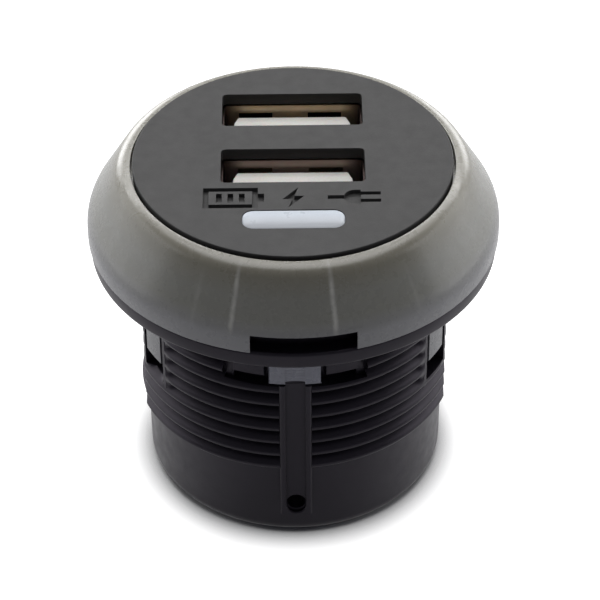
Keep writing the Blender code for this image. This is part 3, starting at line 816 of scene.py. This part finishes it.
def soft_light(name, place, size, watts, side=1):
    """Softbox aimed at the socket, hidden from the camera; side -1 puts it on the left."""
    data = bpy.data.lights.new(name, "AREA")
    data.shape = "RECTANGLE"
    data.size, data.size_y = size
    data.energy = watts
    light = bpy.data.objects.new(name, data)
    bpy.context.scene.collection.objects.link(light)
    x, y, z = place
    light.location = (side * x, y, z)
    aim = LAMP_AIM - light.location
    light.rotation_euler = aim.to_track_quat("-Z", "Y").to_euler()
    light.visible_camera = False


def make_world():
    """White for the camera and, from behind, for gloss; a dim cool fill for the rest."""
    world = bpy.data.worlds.new("world")
    bpy.context.scene.world = world
    world.use_nodes = True
    world.cycles.sampling_method = "NONE"
    nodes = Nodes(world.node_tree)
    fill = nodes.tree.nodes["Background"]
    fill.inputs["Color"].default_value = (*FILL_COLOUR, 1.0)
    fill.inputs["Strength"].default_value = FILL_STRENGTH
    white = nodes.node("ShaderNodeBackground", Color=WHITE)
    direction = nodes.node("ShaderNodeTexCoord").outputs["Generated"]
    behind = nodes.spread(nodes.axes(direction)["Y"], GLOSS_FRONT, GLOSS_BACK, GLOSS_DIM, 1.0,
                          "SMOOTHSTEP")
    path = nodes.node("ShaderNodeLightPath").outputs
    shine = nodes.math("MULTIPLY", nodes.shiny(path), behind)
    seen = nodes.math("MAXIMUM", shine, path["Is Camera Ray"])
    mix = nodes.node("ShaderNodeMixShader", Fac=seen)
    nodes.feed(mix.inputs[1], fill.outputs["Background"])
    nodes.feed(mix.inputs[2], white.outputs["Background"])
    nodes.feed(nodes.tree.nodes["World Output"].inputs["Surface"], mix.outputs["Shader"])


def make_floor():
    """White floor that glows for the camera and for gloss, save in the contact shadow."""
    shade = Shade("floor_paper", (FLOOR_ALBEDO,) * 3, FLOOR_ROUGHNESS, Specular_IOR_Level=0.0)
    path = shade.node("ShaderNodeLightPath").outputs
    y = shade.axes(shade.place)["Y"]
    mirrored = shade.math("ADD", shade.spread(y, GLOSS_NEAR, GLOSS_FAR, 0.0, FLOOR_GLOSS),
                          shade.spread(y, REAR_NEAR, REAR_FAR, 0.0, REAR_GLOSS))
    shine = shade.math("MULTIPLY", shade.shiny(path), mirrored)
    direct = shade.math("MULTIPLY", path["Is Camera Ray"], FLOOR_GLOW)
    contact = shade.node("ShaderNodeAmbientOcclusion", Distance=SHADOW_REACH)
    contact.samples = SHADOW_SAMPLES
    free = shade.spread(contact.outputs["AO"], SHADOW_DARK, SHADOW_FREE, 0.0, 1.0)
    strength = shade.math("ADD", shade.math("MULTIPLY", free, direct), shine)
    glow = shade.node("ShaderNodeEmission", Strength=strength)
    add = shade.tree.nodes.new("ShaderNodeAddShader")
    shade.feed(add.inputs[0], shade.shader.outputs["BSDF"])
    shade.feed(add.inputs[1], glow.outputs["Emission"])
    shade.feed(shade.tree.nodes["Material Output"].inputs["Surface"], add.outputs["Shader"])
    floor = prism("floor", rectangle(FLOOR_SIZE, FLOOR_SIZE), -FLOOR_THICKNESS, 0.0, shade.mat)


def make_studio():
    """Camera, floor and soft light: key above and behind, softboxes at the sides and rear."""
    make_camera()
    make_world()
    make_floor()
    soft_light("key", KEY_PLACE, KEY_SIZE, KEY_WATTS)
    soft_light("back_strip", BACK_PLACE, BACK_SIZE, BACK_WATTS)
    for side, name in SIDES:
        soft_light(f"softbox_{name}", SIDE_PLACE, SIDE_SIZE, SIDE_WATTS[name], side)
        soft_light(f"rear_{name}", REAR_PLACE, REAR_SIZE, REAR_WATTS[name], side)
    bpy.context.scene.view_settings.view_transform = "Standard"


def leg_places():
    """Angle, half angle and reach of each clip leg."""
    half = half_angle(LEG_WIDTH, leg_outer)
    side_half = half_angle(SIDE_LEG_WIDTH, leg_outer)
    legs = [(0.0, half, FRONT_LEG_REACH), (180.0, half, SIDE_LEG_REACH)]
    return legs + [(angle, side_half, SIDE_LEG_REACH) for angle in SIDE_LEG_ANGLES]


def screw_radius(angle, z):
    """Radius of the right-hand thread at an angle in radians and a height."""
    crest = CREST_START + THREAD_PITCH * angle / (2 * math.pi)
    drop = 1.0 - abs(math.cos(math.pi * (z - crest) / THREAD_PITCH))
    radius = THREAD_RADIUS - THREAD_DEPTH * drop
    turned = min(math.degrees(angle), 360.0 - math.degrees(angle))
    away = min(abs(turned - place) for place in RUN_OUTS) - JAMB_HALF
    level = clamped(1.0 - away / RUN_OUT) * clamped((z - jamb_low) / RUN_OUT_RISE)
    radius += (jamb_radius - radius) * level
    start = clamped((z - PILOT_LENGTH + THREAD_START) / THREAD_LEAD)
    radius = PILOT_RADIUS + (radius - PILOT_RADIUS) * start
    end = clamped((flange_z - NECK_LENGTH - z) / NECK_BLEND)
    return THREAD_RADIUS + (radius - THREAD_RADIUS) * end


def thread_loops():
    """Loops of the thread, from the flange down to the pilot."""
    step = THREAD_PITCH / ROWS_PER_PITCH
    top = flange_z - NECK_LENGTH
    rows = int((top - PILOT_LENGTH + THREAD_START) / step)
    turn = 2 * math.pi / ROUND_STEPS
    loops = []
    for k in range(rows + 1):
        z = top - k * step
        loop = []
        for i in range(ROUND_STEPS):
            radius = screw_radius(i * turn, z)
            loop.append((radius * math.sin(i * turn), -radius * math.cos(i * turn), z))
        loops.append(loop)
    return loops


def housing_loops():
    """Loops of the barrel: collar, step, flange, thread, pilot, shroud, bulkhead and bore."""
    front = outline_corners([
        (BORE_RADIUS, shelf_z, SOFT_EDGE), (COLLAR_RADIUS, shelf_z, SOFT_EDGE),
        (COLLAR_RADIUS, step_top, 0.0), (skirt_bore - FIT, step_top, SOFT_EDGE),
        (skirt_bore - FIT, flange_top, 0.0), (flange_radius, flange_top, FLANGE_EDGE),
        (flange_radius, flange_z, FLANGE_EDGE), (THREAD_RADIUS, flange_z, 0.0)])
    rear = outline_corners([
        (PILOT_RADIUS, PILOT_LENGTH - THREAD_PITCH * PILOT_PLAIN, 0.0),
        (PILOT_RADIUS, 0.0, REAR_ROUNDING), (shroud_radius, 0.0, SHROUD_EDGE),
        (shroud_radius, SHROUD_DEPTH, SHROUD_EDGE), (0.0, SHROUD_DEPTH, 0.0)])
    inside = [(0.0, SHROUD_DEPTH + BULKHEAD), (BORE_RADIUS - LEDGE, SHROUD_DEPTH + BULKHEAD),
              (BORE_RADIUS - LEDGE, LEDGE_Z), (BORE_RADIUS, LEDGE_Z)]
    above = [circle_loop(r, z) for r, z in front]
    below = [circle_loop(r, z) for r, z in rear + inside]
    return above + thread_loops() + below


def make_rail():
    """Key rail with chamfered edges and its groove; its middle runs up into the front leg."""
    outer = -THREAD_RADIUS
    inner = outer + RAIL_DEPTH
    half = RAIL_WIDTH / 2
    outline = outline_corners([(-half, inner, 0.0), (-half, outer, RAIL_EDGE),
                               (half, outer, RAIL_EDGE), (half, inner, 0.0)], steps=3)
    foot = flange_z - FRONT_LEG_REACH
    rail = prism("rail", outline, RAIL_REAR, foot - RAIL_GAP)
    edge = SOFT_EDGE
    low = KEY_HOLE_Z - GROOVE_WIDTH / 2
    high = foot + NOTCH_RISE + LONG_PASS
    slot = stadium(GROOVE_WIDTH, low, high)
    flared = stadium(GROOVE_WIDTH + 6 * edge, low - 3 * edge, high + 3 * edge)
    floor_y = outer + GROOVE_DEPTH
    groove = front_prism("groove", [(flared, outer - 2 * edge), (slot, outer + edge),
                                    (slot, floor_y)])
    combine(rail, [groove], "DIFFERENCE")
    tip = arch(GROOVE_WIDTH - 2 * RAIL_GAP, foot - PASS, foot + NOTCH_RISE - RAIL_GAP, NOTCH_ARCH)
    block = front_prism("rail_tip", [(tip, floor_y + edge / 2), (tip, inner)])
    return combine(rail, [block], "UNION")


def side_cutters():
    """Flats, blade slots and snap windows of both sides."""
    flat_low = PILOT_LENGTH - THREAD_PITCH * FLAT_START
    slot_low = SHROUD_DEPTH - PASS
    slot_high = SHROUD_DEPTH + BULKHEAD + PASS
    snap = face_under - SNAP_REACH
    tools = []
    for side, end in SIDES:
        flat = rectangle(2 * FLAT_DEPTH, 2 * THREAD_RADIUS, x=side * THREAD_RADIUS)
        slot = rectangle(BLADE_SHEET + 2 * FIT, BLADE_WIDTH + 2 * FIT, x=side * BLADE_X)
        window = rectangle(SNAP_DEPTH, SNAP_WIDTH + 4 * FIT, x=side * COLLAR_RADIUS)
        tools += [prism(f"flat_{end}", flat, flat_low, flange_z),
                  prism(f"blade_slot_{end}", slot, slot_low, slot_high),
                  prism(f"snap_window_{end}", window, snap - FIT, snap + SNAP_WINDOW - FIT)]
    return tools


def housing_cutters():
    """Flats, slots, snap windows, front relief, leg windows and the rail's seat."""
    through = [(LEG_INNER - FIT, 0.0), (THREAD_RADIUS + PASS, 0.0)]
    tools = side_cutters()
    tools.append(wedge("relief", 0.0, RELIEF_ANGLE, through, relief_z, flange_z))
    margin = half_angle(2 * FIT, leg_outer)
    for angle, half, reach in leg_places():
        free = LEG_POCKET if angle else 0.0
        tools.append(wedge(f"window_{angle:.0f}", angle, half + margin, through,
                           flange_z - reach - FIT - free, step_top + LONG_PASS))
    seat_y = -THREAD_RADIUS + RAIL_DEPTH / 2 - RAIL_SEAT_SHIFT
    seat = rectangle(RAIL_WIDTH - RAIL_SEAT_SLACK, RAIL_DEPTH, y=seat_y)
    tools.append(prism("rail_seat", seat, PILOT_LENGTH - THREAD_PITCH, relief_z + TOUCH))
    return tools


def housing_additions():
    """Rail, guide pads with a step beside them, and upright ribs at the side windows."""
    edge = SOFT_EDGE
    inner = LEG_INNER - 2 * FIT
    top = flange_z + LAP
    pad = [(inner, 0.0), (PAD_RADIUS - edge, 0.0), (PAD_RADIUS, -edge)]
    step = [(inner, 0.0), (PAD_STEP_RADIUS, 0.0)]
    jamb = [(inner, 0.0), (jamb_radius - edge, 0.0), (jamb_radius, -edge)]
    first, last = PAD_ANGLES
    middle = (last + RELIEF_ANGLE) / 2
    step_half = (RELIEF_ANGLE - last) / 2 + PAD_STEP_LAP
    joined = [make_rail()]
    for side in (-1, 1):
        joined.append(wedge("pad", side * (first + last) / 2, (last - first) / 2, pad,
                            flange_z - PAD_REACH, top))
        joined.append(wedge("pad_step", side * middle, step_half, step, relief_z - TOUCH, top))
        for angle in (JAMB_ANGLE, 180.0 - JAMB_ANGLE):
            joined.append(wedge("jamb", side * angle, JAMB_HALF, jamb, jamb_low, top))
    return joined


def make_key_hole():
    """Cutter of the small hole at the groove's rear end, with a flared mouth."""
    edge = SOFT_EDGE
    floor_y = -THREAD_RADIUS + GROOVE_DEPTH
    hole = disc(KEY_HOLE, KEY_HOLE_Z)
    mouth = disc(KEY_HOLE + 2 * edge, KEY_HOLE_Z)
    return front_prism("hole", [(mouth, floor_y - edge), (hole, floor_y + edge),
                                (hole, -shroud_radius + LONG_PASS)])


def make_housing():
    """Moulded barrel with its true screw thread, flats, windows, pads and rail."""
    body = loops_mesh("housing_body", housing_loops(), housing_material())
    combine(body, housing_cutters(), "DIFFERENCE")
    combine(body, housing_additions(), "UNION")
    combine(body, [make_key_hole()], "DIFFERENCE")
    settle(body, "housing")


def rim_points():
    """Round rim of the ring, from its bore to the flank."""
    turn = math.radians(RIM_TURN)
    points = [(ring_bore, rim_z, RIM_CORNER)]
    for k in range(1, RIM_STEPS + 1):
        a = turn * k / RIM_STEPS
        points.append((ring_bore + RIM_ROUNDING * math.sin(a),
                       rim_z - RIM_ROUNDING * (1 - math.cos(a)), 0.0))
    return points


def ring_outline():
    """Section of the ring: round rim, flank that runs into the skirt, skirt and shelf."""
    rim = rim_points()
    flank_top = rim[-1][0]
    shelf_under = shelf_z - SHELF_THICKNESS
    skirt = [(ring_radius, flank_low, FLANK_FILLET), (ring_radius, skirt_z, SOFT_EDGE),
             (skirt_bore, skirt_z, SOFT_EDGE), (skirt_bore, flank_low - SKIRT_LIP, 0.0)]
    shelf = [(flank_top - RING_WALL * SHELF_SHARE, shelf_under, 0.0),
             (SHELF_RADIUS, shelf_under, 0.0), (SHELF_RADIUS, shelf_z, 0.0)]
    return outline_corners([(ring_bore, shelf_z, 0.0)] + rim + skirt + shelf, steps=8)


def recess_front_leg(leg, foot):
    """Cut the recess down the front leg and the notch over the rail."""
    face = -leg_outer
    low = foot - LONG_PASS
    recess = rectangle(GROOVE_WIDTH, 2 * RECESS_DEPTH, y=face)
    notch = arch(GROOVE_WIDTH, low, foot + NOTCH_RISE, NOTCH_ARCH)
    combine(leg, [prism("leg_recess", recess, low, flange_z + LONG_PASS),
                  front_prism("leg_notch", [(notch, face - PASS), (notch, face + 2 * LEG_WALL)])],
            "DIFFERENCE")


def make_clip_legs():
    """Clip legs; the front one has a recess down its middle and a notch over the rail."""
    stations = [(LEG_INNER, 0.0), (leg_outer - SOFT_EDGE, 0.0), (leg_outer, -SOFT_EDGE)]
    legs = []
    for angle, half, reach in leg_places():
        leg = wedge("leg", angle, half, stations, flange_z - reach, shelf_z - LEG_ROOT)
        if not angle:
            recess_front_leg(leg, flange_z - reach)
        legs.append(leg)
    return legs


def make_trim_ring():
    """Ring with a round rim, a pry notch and clip legs."""
    ring = loops_mesh("trim_ring_body", [circle_loop(r, z) for r, z in ring_outline()],
                      ring_material())
    combine(ring, make_clip_legs(), "UNION")
    depth = ring_radius + LONG_PASS - NOTCH_REACH
    outline = rectangle(NOTCH_WIDTH, depth, x=NOTCH_X, y=-NOTCH_REACH - depth / 2)
    notch = prism("notch", outline, ring_z - 2 * LONG_PASS, flank_low)
    combine(ring, [notch], "DIFFERENCE")
    settle(ring, "trim_ring")


def battery_outlines():
    """Case, tip and three cells of a battery."""
    stroke = SYMBOL_STROKE
    half = SYMBOL_HEIGHT / 2
    left, right = BATTERY_X
    centre = (left + right) / 2
    case = [rectangle(right - left, stroke, centre, SYMBOL_Y + side * (half - stroke / 2))
            for side in (-1, 1)]
    case += [rectangle(stroke, 2 * half - stroke, x, SYMBOL_Y)
             for x in (left + stroke / 2, right - stroke / 2)]
    tip = rectangle(stroke * 1.6, half * 0.8, right + stroke * 0.3, SYMBOL_Y)
    cells = [rectangle(stroke, half * 0.85, centre + k * 2.0 * stroke, SYMBOL_Y)
             for k in (-1, 0, 1)]
    return case + [tip] + cells


def bolt_outline():
    """Lightning bolt, from corners in halves of the symbols' height."""
    half = SYMBOL_HEIGHT / 2
    bolt = ((0.30, 1.0), (-0.66, -0.16), (-0.06, -0.16), (-0.30, -1.0), (0.66, 0.16), (0.06, 0.16))
    return [(x * half, SYMBOL_Y + y * half) for x, y in bolt]


def plug_outlines():
    """Body, two pins and lead of a plug."""
    stroke = SYMBOL_STROKE
    left, right = PLUG_X
    radius = SYMBOL_HEIGHT / 2 * 0.7
    angles = [math.radians(a) for a in range(0, 181, 15)]
    round_end = [(left + radius - radius * math.sin(a), SYMBOL_Y + radius * math.cos(a))
                 for a in angles]
    body = round_end + [(right, SYMBOL_Y - radius), (right, SYMBOL_Y + radius)]
    pins = [rectangle(4.2 * stroke, stroke * 0.9, right + stroke * 1.4,
                      SYMBOL_Y + side * radius * 0.52) for side in (-1, 1)]
    lead = rectangle(3.4 * stroke, stroke, left - stroke * 1.1, SYMBOL_Y)
    return [body] + pins + [lead]


def make_symbols():
    """Cutters of three plain symbols above the bar: a battery, a bolt and a plug."""
    outlines = battery_outlines() + [bolt_outline()] + plug_outlines()
    return [prism(f"symbol_{k}", outline, face_z - SYMBOL_DEPTH, face_z + LONG_PASS)
            for k, outline in enumerate(outlines)]


def make_face_plate():
    """Face with soft edges at its openings and three engraved symbols."""
    plate = copy_of_node("face_plate", "face_plate_body", face_material())
    combine(plate, make_symbols(), "DIFFERENCE")
    soften(plate, FACE_EDGE)
    for polygon in plate.data.polygons:
        polygon.use_smooth = polygon.normal.z < LEVEL_NORMAL
    settle(plate, "face_plate")


def bar_outline(length, width, corner, steps):
    """Outline of the indicator bar or its stem, with round corners."""
    w = length / 2
    d = width / 2
    return outline_corners([(-w, BAR_Y - d, corner), (w, BAR_Y - d, corner),
                            (w, BAR_Y + d, corner), (-w, BAR_Y + d, corner)], steps)


def bar_loop(inset, z):
    """Loop of the indicator bar's outline, made smaller by an inset."""
    corner = max(BAR_CORNER - inset, BAR_RIDGE)
    outline = bar_outline(BAR_LENGTH - 2 * inset, BAR_WIDTH - 2 * inset, corner, 8)
    return [(x, y, z) for x, y in outline]


def make_light_pipe():
    """Frosted bar with a crowned top and its stem."""
    edge_z = face_z - BAR_EDGE
    loops = [bar_loop(0.0, face_under - BAR_DEPTH), bar_loop(0.0, edge_z)]
    for k in range(1, CROWN_STEPS + 1):
        a = math.radians(90) * k / CROWN_STEPS
        inset = (BAR_WIDTH / 2 - BAR_RIDGE) * (1 - math.cos(a))
        loops.append(bar_loop(inset, edge_z + BAR_CROWN * math.sin(a)))
    pipe = loops_mesh("light_pipe_body", loops, light_pipe_material(), closed=False)
    stem = bar_outline(STEM_LENGTH, STEM_WIDTH, STEM_CORNER, 4)
    foot = prism("stem", stem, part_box("light_pipe")[0].z, face_under - BAR_DEPTH + FIT)
    combine(pipe, [foot], "UNION")
    settle(pipe, "light_pipe")


def make_ports():
    """Shells, tongues and contacts with soft edges."""
    shell = shell_material()
    cream = tongue_material()
    gold = metal("contact_gold", CONTACT_COLOUR, 0.22).mat
    for index in (1, 2):
        finish_copy(f"port_shell_{index}", f"port_shell_body_{index}", shell,
                    SHELL_EDGE)
        finish_copy(f"port_tongue_{index}", f"port_tongue_body_{index}", cream,
                    TONGUE_EDGE, 3)
        for k in range(1, 5):
            finish_copy(f"port_contact_{index}_{k}", f"contact_body_{index}_{k}", gold,
                        CONTACT_EDGE)


def make_inside():
    """Board, its parts and the terminals."""
    finish_copy("circuit_board", "circuit_board_body", board_material(),
                BOARD_EDGE)
    chip = moulded("chip_epoxy", CHIP_COLOUR, 0.55, grain=2600.0, depth=8e-6).mat
    ferrite = moulded("ferrite", FERRITE_COLOUR, 0.65, grain=1800.0, depth=2e-5, uneven=0.2).mat
    can = metal("capacitor_aluminium", CAN_COLOUR, 0.28, grain=(60.0, 60.0, 900.0)).mat
    fuse = moulded("fuse_ceramic", FUSE_COLOUR, 0.5, grain=2200.0, depth=6e-6).mat
    lamp = moulded("indicator_resin", LED_COLOUR, 0.3, Subsurface_Weight=0.3,
                   Subsurface_Scale=0.0005).mat
    tin = metal("tinned_brass", TIN_COLOUR, 0.27, grain=(80.0, 80.0, 900.0), stain=TIN_STAIN).mat
    looks = (("inductor", ferrite, "inductor", 0.00025),
             ("capacitor_1", can, "capacitor", 0.0003),
             ("capacitor_2", can, "capacitor", 0.0003),
             ("regulator_chip", chip, "chip", 0.00012),
             ("charge_control_chip", chip, "chip", 0.00012),
             ("protection_diode", chip, "chip", 0.00015),
             ("input_fuse", fuse, "chip", 0.0001),
             ("indicator_led", lamp, "indicator_led", 0.0002),
             ("terminal_negative", tin, "terminal", 0.00012),
             ("terminal_positive", tin, "terminal", 0.00012))
    for node, mat, slot, edge in looks:
        finish_copy(node, f"{node}_body", mat, edge, 3)


def main():
    """Build the studio and every piece."""
    make_studio()
    make_housing()
    make_trim_ring()
    make_face_plate()
    make_light_pipe()
    make_ports()
    make_inside()


main()
